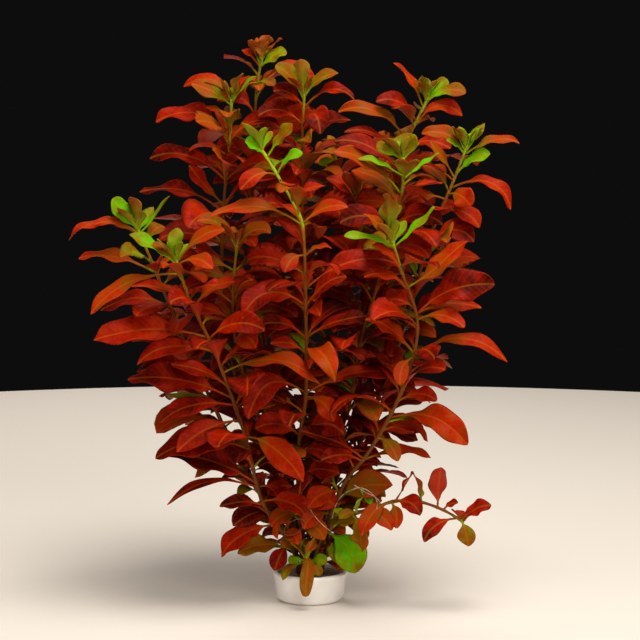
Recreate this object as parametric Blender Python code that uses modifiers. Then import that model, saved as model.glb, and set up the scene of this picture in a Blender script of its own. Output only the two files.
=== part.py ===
"""A bunch of red ludwigia growing in a small glazed pot.

The pot holds a soft ring plug, and the stems stand in the plug's hole. Each of the larger leaves is
a piece of its own, a hair's breadth clear of its stem. Lengths in the tables are in millimetres.
The origin is the middle of the pot's underside, +Z is up, and -Y is the front.
"""
import math

import bmesh
import bpy
from mathutils import Vector

MM = 0.001
MERGE_DISTANCE = 0.0001

POT_HEIGHT = 15.0
POT_RIM_RADIUS = 19.0
POT_FOOT_RADIUS = 14.5
POT_WALL = 2.6
POT_FLOOR = 2.6
POT_FOOT_ROUND = 2.5
POT_HEEL_OUT = 0.4
POT_HEEL_UP = 2.0
LIP_STEPS = 6
FOOT_STEPS = 4
TURNED_STEPS = 40

GAP = 0.35
PLUG_TOP = 13.6
PLUG_HOLE_RADIUS = 7.0
PLUG_EDGE_ROUND = 1.5
PLUG_EDGE_STEPS = 3
PLUG_CLEARANCE = 0.65

STEM_RADIUS = 1.1
STEM_TIP_RADIUS = 0.6
STEM_START = 4.0
STEM_SPACING = 15.0
STEM_SPREAD_IN_PLUG = 1.05
RING_RADII = (0.0, 2.8, 5.5)

LEAF_THICKNESS = 0.5
LEAF_STEPS_ALONG = 8
LEAF_STEPS_ACROSS = 2
STALK_SHARE = 0.22
STALK_WIDTH = 1.3
TIP_WIDTH = 1.0
BLADE_LEAN = 1.1
BLADE_FULLNESS = 0.7
FOLD = 0.16
LEAF_ROUTE_SPACING = 2.0

# Each stem: its place in the plug (ring, degrees), then the points that it passes through (x, y, z).
STEMS = {
    "left_front": ((2, 215), [(-11, -8, 32), (-24, -14, 53), (-32, -23, 87), (-42, -29, 118),
                              (-50, -32, 138), (-58, -34, 155), (-65, -35, 176)]),
    "far_left": ((2, 180), [(-10, -1, 32), (-24, -1, 52), (-44, -2, 90), (-59, -5, 123),
                            (-71, -8, 153), (-78, -9, 171), (-86, -9, 190)]),
    "left_back": ((1, 150), [(-7, 3, 34), (-15, 8, 55), (-30, 16, 88), (-41, 21, 122),
                             (-45, 23, 146), (-45, 22, 191), (-41, 20, 234), (-40, 18, 254)]),
    "tall": ((2, 125), [(-6, 8, 34), (-10, 18, 60), (-19, 29, 100), (-25, 34, 131), (-29, 35, 170),
                        (-30, 34, 203), (-28, 30, 253), (-25, 28, 275)]),
    "middle": ((1, 90), [(-1, 7, 36), (-2, 12, 70), (-3, 17, 120), (-4, 19, 175), (-4, 19, 230),
                         (-3, 18, 257)]),
    "centre_front": ((1, 270), [(-4, -8, 34), (-6, -13, 68), (-5, -17, 87), (-2, -21, 109),
                                (-2, -26, 153), (-3, -28, 187), (-6, -29, 199), (-16, -30, 217),
                                (-24, -30, 230)]),
    "right_front": ((2, 320), [(8, -9, 38), (17, -16, 62), (30, -24, 81), (43, -30, 106),
                               (51, -33, 130), (52, -34, 148), (45, -35, 169), (40, -36, 185)]),
    "right_upper": ((2, 350), [(10, -1, 36), (24, 1, 76), (39, 3, 115), (51, 5, 150), (60, 6, 183),
                               (71, 5, 210), (79, 3, 231)]),
    "right_top": ((2, 25), [(8, 6, 38), (19, 16, 80), (31, 25, 130), (41, 30, 182), (49, 32, 228),
                            (61, 32, 256)]),
    "right_centre": ((1, 330), [(5, -4, 38), (12, -6, 76), (20, -9, 102), (26, -11, 136),
                                (34, -13, 163), (45, -14, 205), (46, -14, 225)]),
    "back": ((0, 0), [(3, 5, 40), (8, 14, 85), (14, 33, 140), (15, 41, 190), (13, 42, 226)]),
    "back_right": ((1, 30), [(7, 3, 40), (15, 8, 85), (25, 13, 130), (27, 15, 170), (24, 14, 205)]),
    "inner_left": ((1, 210), [(-8, -3, 40), (-18, -8, 75), (-30, -14, 108), (-37, -17, 135),
                              (-38, -16, 160), (-36, -17, 182)]),
    "creeping": ((2, 285), [(5, -13, 32), (16, -19, 45), (31, -23, 51), (42, -25, 55), (54, -26, 55),
                            (66, -27, 51), (76, -27, 45)]),
}

# The shoot that creeps sideways has its leaves placed by distance out, and the others by height.
PLACED_BY = {"creeping": 0}

# Each leaf: place on its stem, its tip from there (across, back, up), width, how far the midrib
# bows above the straight line to the tip, degrees that its face turns to the front, and its hue.
LEAVES = {
    "left_front": [
        (168, -43, -4, -19, 11, 6, 35, "orange"), (137, -54, -6, -2, 17, 5, 55, "red"),
        (107, -50, -6, 10, 16, 4, 50, "dark"), (81, -45, -10, -3, 17, 6, 55, "dark"),
        (63, -46, -4, 15, 15, 4, 50, "dark"), (119, 48, -12, -3, 11, 8, 35, "orange"),
        (87, 28, -22, -19, 14, 6, 60, "orange"), (40, -28, -8, -14, 12, 4, 50, "red"),
        (27, -27, -8, 0, 11, 3, 55, "olive"),
    ],
    "far_left": [
        (186, -36, -2, -1, 8, 6, 35, "orange"), (168, -38, 0, 8, 9, 3, 35, "orange"),
    ],
    "left_back": [
        (234, -37, 2, 8, 13, 9, 40, "red"), (212, -39, 4, 12, 11, 6, 40, "red"),
        (197, -42, 0, 9, 11, 6, 40, "red"), (140, -22, 40, 4, 13, 6, 10, "dark"),
    ],
    "tall": [
        (270, 3, -3, 16, 10, 0, 0, "olive"), (262, 30, -2, 2, 9, 7, 40, "red"),
        (185, 6, 44, 6, 14, 6, 0, "red"),
    ],
    "middle": [(250, 26, -6, 5, 9, 6, 40, "red")],
    "centre_front": [
        (192, -44, -8, 3, 10, 7, 35, "orange"), (153, -31, -14, -5, 15, 9, 55, "red"),
        (160, 46, 5, 13, 14, 6, 50, "red"), (109, 48, 4, 9, 10, 5, 35, "red"),
        (128, 14, -34, -9, 12, 8, 20, "orange"), (23, 0, -21, -16, 7, 8, 0, "orange"),
    ],
    "right_front": [
        (183, -2, -3, 25, 13, 0, 0, "green"), (161, 26, -5, 24, 12, -2, 55, "orange"),
        (149, 37, -5, 14, 17, 5, 55, "dark"), (129, 45, -6, -3, 9, 9, 35, "orange"),
        (97, 36, -20, -11, 14, 7, 50, "orange"),
    ],
    "right_upper": [
        (226, 27, -3, 7, 7, 3, 35, "orange"), (209, 31, -6, -10, 8, 8, 40, "red"),
        (203, -21, -8, -2, 12, 3, 50, "orange"), (140, 34, 30, 8, 14, 6, 10, "dark"),
    ],
    "right_top": [
        (250, -15, -2, 22, 7, 2, 45, "orange"), (241, 24, -2, 5, 9, 7, 40, "red"),
        (233, -36, -2, 17, 9, 6, 35, "orange"),
    ],
    "right_centre": [(206, -33, -6, 22, 11, 4, 40, "orange")],
    "back": [(200, -8, 36, 8, 13, 6, 0, "red"), (150, 14, 44, 4, 14, 7, 0, "dark")],
    "creeping": [
        (62, 1, -3, 21, 10, 0, 0, "red"), (75, 13, -4, 9, 8, 2, 55, "red"),
        (72, -17, -10, -9, 8, 3, 45, "red"), (20, 4, -9, -17, 12, 4, 60, "olive"),
    ],
}

# Each finish: its colour and its roughness.
FINISHES = {
    "glaze": ((0.80, 0.76, 0.70), 0.25), "foam": ((0.30, 0.27, 0.22), 0.95),
    "stem": ((0.16, 0.10, 0.02), 0.5), "green": ((0.16, 0.40, 0.03), 0.4),
    "olive": ((0.17, 0.12, 0.02), 0.4), "orange": ((0.45, 0.10, 0.02), 0.4),
    "red": ((0.40, 0.03, 0.01), 0.4), "dark": ((0.14, 0.012, 0.005), 0.4),
}


def clear_scene():
    for found in list(bpy.data.objects):
        bpy.data.objects.remove(found, do_unlink=True)


def new_collection(name):
    made = bpy.data.collections.new(name)
    bpy.context.scene.collection.children.link(made)
    return made


def new_material(name):
    colour, roughness = FINISHES[name]
    made = bpy.data.materials.new(name)
    made.use_nodes = True
    shader = made.node_tree.nodes["Principled BSDF"]
    shader.inputs["Base Color"].default_value = (*colour, 1.0)
    shader.inputs["Roughness"].default_value = roughness
    shader.inputs["Metallic"].default_value = 0.0
    return made


def add_object(name, data, material, parent):
    made = bpy.data.objects.new(name, data)
    made.data.materials.append(material)
    made.parent = parent
    plant.objects.link(made)
    return made


def arc(centre, radius, start, end, steps):
    """Points of a round stretch of an outline, from one angle to another, both in degrees."""
    angles = [math.radians(start + (end - start) * i / steps) for i in range(steps + 1)]
    return [(centre[0] + radius * math.cos(a), centre[1] + radius * math.sin(a)) for a in angles]


def turned(name, outline, is_ring, material, parent):
    """A solid turned about the pot's axis; the outline runs down its outer side."""
    mesh = bpy.data.meshes.new(name)
    edges = [(i, i + 1) for i in range(len(outline) - 1)]
    if is_ring:
        edges.append((len(outline) - 1, 0))
    mesh.from_pydata([(x * MM, 0.0, z * MM) for x, z in outline], edges, [])
    made = add_object(name, mesh, material, parent)
    screw = made.modifiers.new("Turn", "SCREW")
    screw.steps = TURNED_STEPS
    screw.render_steps = TURNED_STEPS
    screw.use_merge_vertices = True
    screw.merge_threshold = MERGE_DISTANCE
    screw.use_smooth_shade = True
    return made


def pot_inner_radius(height):
    """The inner wall leans out evenly from the floor to the rim."""
    lean = (POT_RIM_RADIUS - POT_FOOT_RADIUS - POT_FOOT_ROUND) / POT_HEIGHT
    return POT_RIM_RADIUS - POT_WALL - lean * (POT_HEIGHT - height)


def make_pot(parent):
    lip = POT_WALL / 2
    outline = [(0.0, POT_FLOOR), (pot_inner_radius(POT_FLOOR), POT_FLOOR)]
    outline += arc((POT_RIM_RADIUS - lip, POT_HEIGHT - lip), lip, 180, 0, LIP_STEPS)
    outline.append((POT_FOOT_RADIUS + POT_FOOT_ROUND + POT_HEEL_OUT, POT_FOOT_ROUND + POT_HEEL_UP))
    outline += arc((POT_FOOT_RADIUS, POT_FOOT_ROUND), POT_FOOT_ROUND, 0, -90, FOOT_STEPS)
    outline.append((0.0, 0.0))
    turned("pot", outline, False, new_material("glaze"), parent)


def make_plug(parent):
    low = POT_FLOOR + GAP
    edge = PLUG_EDGE_ROUND
    top_radius = pot_inner_radius(PLUG_TOP) - PLUG_CLEARANCE
    outline = arc((top_radius - edge, PLUG_TOP - edge), edge, 90, 0, PLUG_EDGE_STEPS)
    outline.append((pot_inner_radius(low) - PLUG_CLEARANCE, low))
    outline.append((PLUG_HOLE_RADIUS, low))
    outline.append((PLUG_HOLE_RADIUS, PLUG_TOP))
    turned("plug", outline, True, new_material("foam"), parent)


def stem_start(place):
    ring, degrees = place
    angle = math.radians(degrees)
    reach = RING_RADII[ring]
    return Vector((reach * math.cos(angle), reach * math.sin(angle), STEM_START))


def smooth_route(points, spacing):
    """Points about one spacing apart on the Catmull-Rom curve through the given ones."""
    ends = [points[0] * 2 - points[1], *points, points[-1] * 2 - points[-2]]
    route = []
    for a, b, c, d in zip(ends, ends[1:], ends[2:], ends[3:]):
        steps = max(1, round((c - b).length / spacing))
        for i in range(steps):
            t = i / steps
            route.append(0.5 * (2 * b + (c - a) * t + (2 * a - 5 * b + 4 * c - d) * t ** 2
                                + (3 * b - a - 3 * c + d) * t ** 3))
    return [*route, points[-1]]


def stem_route(name, spacing):
    place, points = STEMS[name]
    start = stem_start(place)
    upright = Vector((start.x * STEM_SPREAD_IN_PLUG, start.y * STEM_SPREAD_IN_PLUG, PLUG_TOP))
    return smooth_route([start, upright, *[Vector(p) for p in points]], spacing)


def point_on(route, place, axis):
    """The point, and the direction, of the route where its height or distance out is the given one."""
    for low, high in zip(route, route[1:]):
        if low[axis] <= place <= high[axis]:
            share = (place - low[axis]) / (high[axis] - low[axis])
            return low.lerp(high, share), (high - low).normalized()
    return route[-1].copy(), (route[-1] - route[-2]).normalized()


def make_stem(name, material, parent):
    route = stem_route(name, STEM_SPACING)
    curve = bpy.data.curves.new("stem_" + name, "CURVE")
    curve.dimensions = "3D"
    curve.bevel_depth = MM  # a millimetre, times each point's own radius
    curve.bevel_resolution = 2
    curve.use_fill_caps = True
    spline = curve.splines.new("POLY")
    spline.points.add(len(route) - 1)
    for i, point in enumerate(route):
        spline.points[i].co = (*(point * MM), 1.0)
        share = i / (len(route) - 1)
        spline.points[i].radius = STEM_RADIUS + (STEM_TIP_RADIUS - STEM_RADIUS) * share
    add_object("stem_" + name, curve, material, parent)


def half_width(along, width):
    """A narrow stalk that opens into an oval blade, widest a little past its middle."""
    if along <= STALK_SHARE:
        return STALK_WIDTH / 2
    blade = (along - STALK_SHARE) / (1 - STALK_SHARE)
    oval = math.sin(math.pi * blade ** BLADE_LEAN) ** BLADE_FULLNESS
    rest = STALK_WIDTH + (TIP_WIDTH - STALK_WIDTH) * blade
    return max(rest, width * oval) / 2


def midrib(reach, bow, along):
    """Point and direction on the midrib, a parabola in the upright plane of the leaf's heading."""
    heading = Vector((reach.x, reach.y, 0)).normalized()
    chord = Vector((Vector((reach.x, reach.y)).length, reach.z))
    lift = Vector((-chord.y, chord.x)).normalized() * bow
    flat = chord * along + lift * 4 * along * (1 - along)
    slope = (chord + lift * 4 * (1 - 2 * along)).normalized()
    upper = heading * -slope.y + Vector((0, 0, slope.x))
    return heading * flat.x + Vector((0, 0, flat.y)), heading * slope.x + Vector((0, 0, slope.y)), upper


def leaf_point(base, leaf, along, across):
    """The point of the blade at a share of its length and a share, -1 to 1, of its half width."""
    _, dx, dy, dz, width, bow, turn, _ = leaf
    point, direction, upper = midrib(Vector((dx, dy, dz)), bow, along)
    side = direction.cross(upper)
    if side.y > 0:
        side = -side
    angle = math.radians(turn) * min(1.0, along / STALK_SHARE)
    face = upper * math.cos(angle) + side * math.sin(angle)
    edge = side * math.cos(angle) - upper * math.sin(angle)
    half = half_width(along, width)
    return base + point + edge * across * half + face * abs(across) * half * FOLD


def make_leaf(name, base, leaf, material, parent):
    mesh = bpy.data.meshes.new(name)
    shape = bmesh.new()
    bmesh.ops.create_grid(shape, x_segments=LEAF_STEPS_ALONG, y_segments=LEAF_STEPS_ACROSS, size=1)
    for vertex in shape.verts:
        vertex.co = leaf_point(base, leaf, (vertex.co.x + 1) / 2, vertex.co.y) * MM
    shape.to_mesh(mesh)
    shape.free()
    mesh.shade_smooth()
    made = add_object(name, mesh, material, parent)
    skin = made.modifiers.new("Thickness", "SOLIDIFY")
    skin.thickness = LEAF_THICKNESS * MM
    skin.offset = 0.0
    return made


def make_leaves(stem, parent):
    route = stem_route(stem, LEAF_ROUTE_SPACING)
    for number, leaf in enumerate(LEAVES.get(stem, []), 1):
        on_stem, along_stem = point_on(route, leaf[0], PLACED_BY.get(stem, 2))
        heading = Vector((leaf[1], leaf[2], 0)).normalized()
        outward = (heading - along_stem * heading.dot(along_stem)).normalized()
        base = on_stem + outward * (STEM_RADIUS + GAP + LEAF_THICKNESS / 2)
        make_leaf(f"leaf_{stem}_{number}", base, leaf, leaf_materials[leaf[7]], parent)


clear_scene()
plant = new_collection("potted_red_ludwigia")
holder = bpy.data.objects.new("potted_red_ludwigia", None)
plant.objects.link(holder)
make_pot(holder)
make_plug(holder)
stem_material = new_material("stem")
leaf_materials = {hue: new_material(hue) for hue in ("green", "olive", "orange", "red", "dark")}
for stem_name in STEMS:
    make_stem(stem_name, stem_material, holder)
    make_leaves(stem_name, holder)
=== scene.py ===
import bpy
import numpy as np
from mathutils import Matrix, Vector
from mathutils.bvhtree import BVHTree


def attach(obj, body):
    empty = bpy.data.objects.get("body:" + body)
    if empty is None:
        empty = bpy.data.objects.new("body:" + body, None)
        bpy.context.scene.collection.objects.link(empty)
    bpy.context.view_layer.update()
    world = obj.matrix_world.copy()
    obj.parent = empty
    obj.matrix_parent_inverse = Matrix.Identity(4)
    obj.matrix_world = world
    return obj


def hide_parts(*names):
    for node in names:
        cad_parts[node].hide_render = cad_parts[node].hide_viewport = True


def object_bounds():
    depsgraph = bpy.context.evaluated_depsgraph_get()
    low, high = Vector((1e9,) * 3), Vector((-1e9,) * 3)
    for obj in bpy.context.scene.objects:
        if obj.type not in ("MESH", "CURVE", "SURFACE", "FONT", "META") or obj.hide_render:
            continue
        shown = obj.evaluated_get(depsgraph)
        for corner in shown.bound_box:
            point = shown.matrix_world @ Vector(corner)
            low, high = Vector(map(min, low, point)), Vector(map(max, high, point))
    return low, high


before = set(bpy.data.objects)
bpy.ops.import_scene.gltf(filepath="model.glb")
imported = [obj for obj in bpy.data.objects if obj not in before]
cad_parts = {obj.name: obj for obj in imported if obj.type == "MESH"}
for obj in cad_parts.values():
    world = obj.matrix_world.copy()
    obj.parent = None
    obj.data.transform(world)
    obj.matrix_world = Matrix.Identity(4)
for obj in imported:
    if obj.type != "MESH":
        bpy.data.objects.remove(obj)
cadBox = [list(corner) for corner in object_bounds()]
mm = 0.001
print("frame loaded")


# small helpers

def hexColour(text):  # sRGB hex to linear
    channels = np.array([int(text[i:i + 2], 16) for i in (1, 3, 5)]) / 255
    linear = np.where(channels <= 0.04045, channels / 12.92, ((channels + 0.055) / 1.055) ** 2.4)
    return (*linear.tolist(), 1.0)


def setInputs(tree, node, inputs):
    # a socket is linked to its input, and anything else is the input's own value
    for name, value in inputs.items():
        if isinstance(value, bpy.types.NodeSocket):
            tree.links.new(value, node.inputs[name])
        else:
            node.inputs[name].default_value = value


def addNode(tree, kind, inputs=None, settings=None):
    # settings come first, because some of them change which inputs there are
    node = tree.nodes.new(kind)
    for name, value in (settings or {}).items():
        setattr(node, name, value)
    setInputs(tree, node, inputs or {})
    return node


def newMaterial(name, inputs):
    material = bpy.data.materials.new(name)
    material.use_nodes = True
    tree = material.node_tree
    shader = tree.nodes["Principled BSDF"]
    setInputs(tree, shader, inputs)
    return material, tree, shader


def setRamp(node, stops):  # each stop is a place from 0 to 1 and a colour
    ramp = node.color_ramp
    while len(ramp.elements) < len(stops):
        ramp.elements.new(1.0)
    for element, (place, colour) in zip(ramp.elements, stops):
        element.position = place
        element.color = hexColour(colour)


def closedMesh(name, grids, poles, values, material):
    # grids is (count, rows, columns, 3) in millimetres. Each grid is closed round its columns, and
    # is shut either by a fan to one pole at each end, (count, 2, 3), or by joining its last row to its first
    count, rows, columns, _ = grids.shape
    index = np.arange(rows * columns).reshape(rows, columns)
    around = np.roll(index, -1, axis=1)
    points = grids.reshape(count, -1, 3)
    if poles is None:
        quads = np.stack([index, around, np.roll(around, -1, 0), np.roll(index, -1, 0)], -1)
        fans = np.zeros((0, 3), int)
    else:
        quads = np.stack([index[:-1], around[:-1], around[1:], index[1:]], -1)
        first, last = rows * columns, rows * columns + 1
        start = np.stack([np.full(columns, first), around[0], index[0]], -1)
        end = np.stack([np.full(columns, last), index[-1], around[-1]], -1)
        fans = np.concatenate([start, end])
        points = np.concatenate([points, poles], axis=1)
    step = points.shape[1] * np.arange(count)
    quads = (quads.reshape(1, -1, 4) + step[:, None, None]).reshape(-1, 4)
    fans = (fans.reshape(1, -1, 3) + step[:, None, None]).reshape(-1, 3)
    corners = np.concatenate([quads.ravel(), fans.ravel()])
    starts = np.concatenate([np.arange(len(quads)) * 4, quads.size + np.arange(len(fans)) * 3])
    mesh = bpy.data.meshes.new(name)
    mesh.vertices.add(points.size // 3)
    mesh.vertices.foreach_set("co", (points * mm).astype(np.float32).ravel())
    mesh.loops.add(len(corners))
    mesh.loops.foreach_set("vertex_index", corners.astype(np.int32))
    mesh.polygons.add(len(starts))
    mesh.polygons.foreach_set("loop_start", starts.astype(np.int32))
    mesh.update(calc_edges=True)
    mesh.polygons.foreach_set("use_smooth", np.ones(len(starts), bool))
    for label, numbers in (values or {}).items():
        layer = mesh.attributes.new(label, "FLOAT", "POINT")
        numbers = numbers.reshape(count, -1)
        if poles is not None:  # each pole takes the value of the row beside it
            numbers = np.concatenate([numbers, numbers[:, :1], numbers[:, -1:]], axis=1)
        layer.data.foreach_set("value", numbers.astype(np.float32).ravel())
    mesh.materials.append(material)
    return mesh


def addPiece(name, mesh, replaced=()):
    piece = bpy.data.objects.new(name, mesh)
    bpy.context.scene.collection.objects.link(piece)
    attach(piece, "root")
    if replaced:
        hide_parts(*replaced)


def unit(vectors):  # each vector divided by its length
    return vectors / np.linalg.norm(vectors, axis=-1, keepdims=True)


def smoothStep(low, high, x):  # 3t^2 - 2t^3, where t goes from 0 at low to 1 at high
    t = np.clip((x - low) / (high - low), 0, 1)
    return t * t * (3 - 2 * t)


# the camera, in metres

view = {"place": (0.005, -1.0, 0.235), "aim": (0.005, 0.0, 0.143), "lens": 112.0}


def addCamera():
    camera = bpy.data.objects.new("camera", bpy.data.cameras.new("camera"))
    bpy.context.scene.collection.objects.link(camera)
    camera.location = view["place"]
    towards = Vector(view["aim"]) - Vector(view["place"])
    camera.rotation_euler = towards.to_track_quat("-Z", "Y").to_euler()
    camera.data.lens = view["lens"]
    bpy.context.scene.camera = camera


addCamera()
print("camera set")


# how the plant is laid out, in millimetres

# each stem: its place in the plug (ring, degrees), the points that it passes, and how old its tip is
stems = {
    "left_front": ((2, 215), [(-11, -8, 32), (-24, -14, 53), (-32, -23, 87), (-42, -29, 118),
                              (-50, -32, 138), (-58, -34, 155), (-65, -35, 176)], 0.05),
    "far_left": ((2, 180), [(-10, -1, 32), (-24, -1, 52), (-44, -2, 90), (-59, -5, 123),
                            (-71, -8, 153), (-78, -9, 171), (-86, -9, 190)], 0.05),
    "left_back": ((1, 150), [(-7, 3, 34), (-15, 8, 55), (-30, 16, 88), (-41, 21, 122),
                             (-45, 23, 146), (-45, 22, 191), (-41, 20, 234), (-40, 18, 254)], 0.2),
    "tall": ((2, 125), [(-6, 8, 34), (-10, 18, 60), (-19, 29, 100), (-25, 34, 131), (-29, 35, 170),
                        (-30, 34, 203), (-28, 30, 253), (-25, 28, 275)], 0.35),
    "middle": ((1, 90), [(-1, 7, 36), (-2, 12, 70), (-3, 17, 120), (-4, 19, 175), (-4, 19, 230),
                         (-3, 18, 257)], 0.35),
    "centre_front": ((1, 270), [(-4, -8, 34), (-6, -13, 68), (-5, -17, 87), (-2, -21, 109),
                                (-2, -26, 153), (-3, -28, 187), (-6, -29, 199), (-16, -30, 217),
                                (-24, -30, 230)], 0.0),
    "right_front": ((2, 320), [(8, -9, 38), (17, -16, 62), (30, -24, 81), (43, -30, 106),
                               (51, -33, 130), (52, -34, 148), (45, -35, 169), (40, -36, 185)], 0.1),
    "right_upper": ((2, 350), [(10, -1, 36), (24, 1, 76), (39, 3, 115), (51, 5, 150), (60, 6, 183),
                               (71, 5, 210), (79, 3, 231)], 0.1),
    "right_top": ((2, 25), [(8, 6, 38), (19, 16, 80), (31, 25, 130), (41, 30, 182), (49, 32, 228),
                            (61, 32, 256)], 0.12),
    "right_centre": ((1, 330), [(5, -4, 38), (12, -6, 76), (20, -9, 102), (26, -11, 136),
                                (34, -13, 163), (45, -14, 205), (46, -14, 225)], 0.12),
    "back": ((0, 0), [(3, 5, 40), (8, 14, 85), (14, 33, 140), (15, 41, 190), (13, 42, 226)], 0.25),
    "back_right": ((1, 30), [(7, 3, 40), (15, 8, 85), (25, 13, 130), (27, 15, 170), (24, 14, 205)], 0.4),
    "inner_left": ((1, 210), [(-8, -3, 40), (-18, -8, 75), (-30, -14, 108), (-37, -17, 135),
                              (-38, -16, 160), (-36, -17, 182)], 0.4),
    "creeping": ((2, 285), [(5, -13, 32), (16, -19, 45), (31, -23, 51), (42, -25, 55), (54, -26, 55),
                            (66, -27, 51), (76, -27, 45)], 0.6),
    "front_shoot": ((2, 252), [(-2, -11, 20), (-2, -16, 25)], 0.2),
}
placedBy = {"creeping": 0}  # its leaves are placed by distance out, the others' by height

# each leaf: place on its stem, its tip from there (across, back, up), width, how far the midrib bows
# above the straight line to the tip, degrees that its face turns to the front, and how old it is
largeLeaves = {
    "left_front": [
        (168, -43, -4, -19, 11, 6, 35, .55), (137, -54, -6, -2, 17, 5, 55, .76),
        (107, -50, -6, 10, 16, 4, 50, .92), (81, -45, -10, -3, 17, 6, 55, .86),
        (63, -46, -4, 15, 15, 4, 50, .98), (119, 48, -12, -3, 11, 8, 35, .60),
        (87, 28, -22, -19, 14, 6, 60, .66), (40, -28, -8, -14, 12, 4, 50, .80),
        (27, -27, -8, 0, 11, 3, 55, .40),
    ],
    "far_left": [(186, -36, -2, -1, 8, 6, 35, .70), (168, -38, 0, 8, 9, 3, 35, .58)],
    "left_back": [
        (234, -37, 2, 8, 13, 9, 40, .80), (212, -39, 4, 12, 11, 6, 40, .84),
        (197, -42, 0, 9, 11, 6, 40, .84), (140, -22, 40, 4, 13, 6, 10, .92),
    ],
    "tall": [
        (270, 3, -3, 16, 10, 0, 0, .30), (262, 30, -2, 2, 9, 7, 40, .68), (185, 6, 44, 6, 14, 6, 0, .82),
    ],
    "middle": [(250, 26, -6, 5, 9, 6, 40, .82)],
    "centre_front": [
        (192, -44, -8, 3, 10, 7, 35, .52), (153, -31, -14, -5, 15, 9, 55, .84),
        (160, 46, 5, 13, 14, 6, 50, .84), (109, 48, 4, 9, 10, 5, 35, .76),
        (128, 14, -34, -9, 12, 8, 20, .66), (23, 0, -21, -16, 7, 8, 0, .47),
    ],
    "right_front": [
        (183, -2, -3, 25, 13, 0, 0, .12), (161, 26, -5, 24, 12, -2, 55, .56),
        (149, 37, -5, 14, 17, 5, 55, .90), (129, 45, -6, -3, 9, 9, 35, .62),
        (97, 36, -20, -11, 14, 7, 50, .68),
    ],
    "right_upper": [
        (226, 27, -3, 7, 7, 3, 35, .45), (209, 31, -6, -10, 8, 8, 40, .74),
        (203, -21, -8, -2, 12, 3, 50, .60), (140, 34, 30, 8, 14, 6, 10, .90),
    ],
    "right_top": [
        (250, -15, -2, 22, 7, 2, 45, .55), (241, 24, -2, 5, 9, 7, 40, .68),
        (233, -36, -2, 17, 9, 6, 35, .55),
    ],
    "right_centre": [(206, -33, -6, 22, 11, 4, 40, .48)],
    "back": [(200, -8, 36, 8, 13, 6, 0, .78), (150, 14, 44, 4, 14, 7, 0, .92)],
    "creeping": [
        (62, 1, -3, 21, 10, 0, 0, .72), (75, 13, -4, 9, 8, 2, 55, .80), (72, -17, -10, -9, 8, 3, 45, .76),
        (20, 4, -9, -17, 12, 4, 60, .42),
    ],
}

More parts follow.
